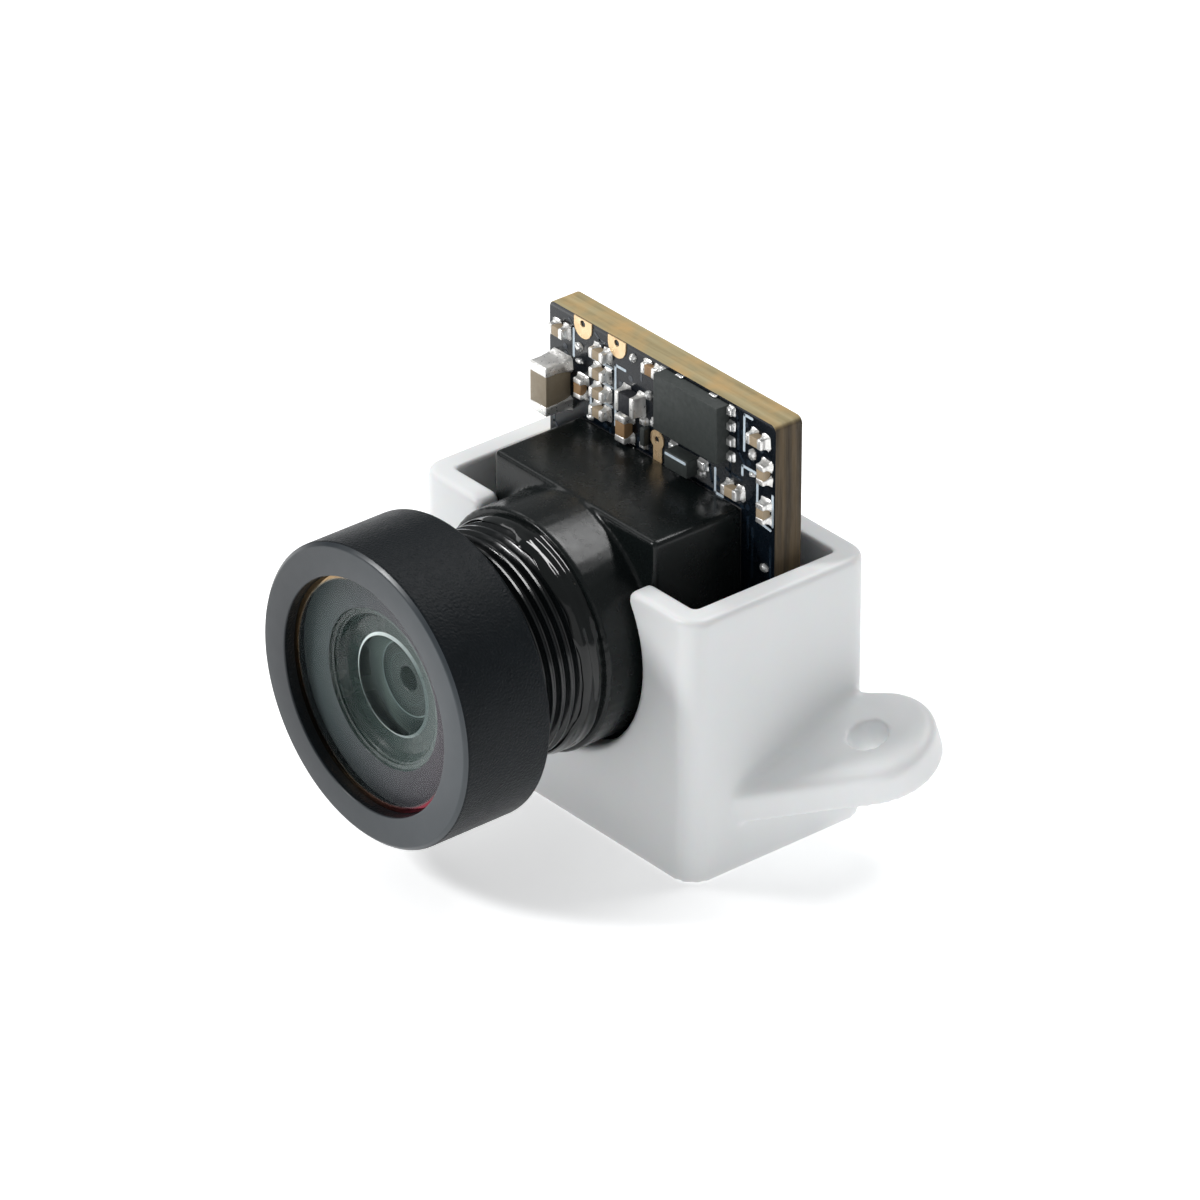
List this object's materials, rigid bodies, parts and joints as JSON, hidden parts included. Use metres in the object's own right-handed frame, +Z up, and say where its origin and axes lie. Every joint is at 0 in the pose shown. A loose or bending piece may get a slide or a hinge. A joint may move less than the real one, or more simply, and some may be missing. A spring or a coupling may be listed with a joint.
{
  "type": "micro board camera with mounting cradle",
  "caption": "Tiny board camera with a screw-in focusing lens, snapped upright into a moulded cradle with inclined screw ears.",
  "frame": {"origin": "centre of the cradle's flat bottom face", "axes": "+X across the cradle from ear to ear, +Y towards the back wall, +Z up; the lens looks along -Y"},
  "size_m": [0.0196, 0.0147, 0.0134],
  "materials": {
    "cradle_plastic": "satin moulded white plastic",
    "holder_plastic": "satin moulded black plastic",
    "bond_adhesive": "cured black adhesive",
    "seal_lacquer": "glossy black sealing lacquer",
    "board_laminate": "black solder mask, golden-brown bare laminate on its edges",
    "gold_plate": "bright gold plating",
    "chip_epoxy": "dull dark grey moulding epoxy",
    "tin_solder": "bright solder",
    "tin_ends": "dull tinned ends",
    "large_ceramic": "matte beige-brown ceramic",
    "small_ceramic": "matte brown ceramic",
    "resistor_ceramic": "brown coated ceramic",
    "ferrite": "dark ferrite",
    "sensor_package": "dark sensor package",
    "clear_glass": "clear polished glass",
    "filter_glass": "pale cyan infrared-cut coating",
    "coated_glass": "polished glass with a green and magenta coating",
    "baffle_black": "dull black",
    "barrel_plastic": "fine-grained satin black"
  },
  "bodies": {
    "mount": {"cradle": "cradle_plastic", "ear_right": "cradle_plastic", "ear_left": "cradle_plastic", "lens_holder": "holder_plastic", "holder_bond": "bond_adhesive", "thread_seal": "seal_lacquer", "circuit_board": "board_laminate", "wire_pads": "gold_plate", "test_pad": "gold_plate", "memory_chip": "chip_epoxy", "memory_chip_leads": "tin_solder", "large_capacitor": "large_ceramic", "large_capacitor_ends": "tin_ends", "small_capacitors": "small_ceramic", "small_capacitor_ends": "tin_ends", "resistors": "resistor_ceramic", "resistor_ends": "tin_ends", "inductor": "ferrite", "inductor_ends": "tin_ends", "small_packages": "chip_epoxy", "package_leads": "tin_solder", "solder_joints": "tin_solder", "rear_processor": "chip_epoxy", "image_sensor": "sensor_package", "sensor_window": "clear_glass", "infrared_filter": "filter_glass"},
    "lens_optics": {"front_element": "coated_glass", "baffle_ring": "baffle_black", "second_element": "coated_glass", "aperture_stop": "baffle_black", "rear_element": "coated_glass"},
    "lens_barrel": {"lens_barrel": "barrel_plastic", "rear_retaining_ring": "barrel_plastic"}
  },
  "joints": [
    {"name": "focus_travel", "type": "slide", "parent": "mount", "child": "lens_optics", "axis": [0, 1, 0], "range_m": [-0.0007, 0.0007]},
    {"name": "focus_turn", "type": "hinge", "parent": "lens_optics", "child": "lens_barrel", "pos_m": [0, -0.00735, 0.0063], "axis": [0, 1, 0], "range_deg": [-721, 721]}
  ],
  "couplings": [
    {"joint": "focus_turn", "follows": "focus_travel", "rad_per_m": 17952}
  ]
}
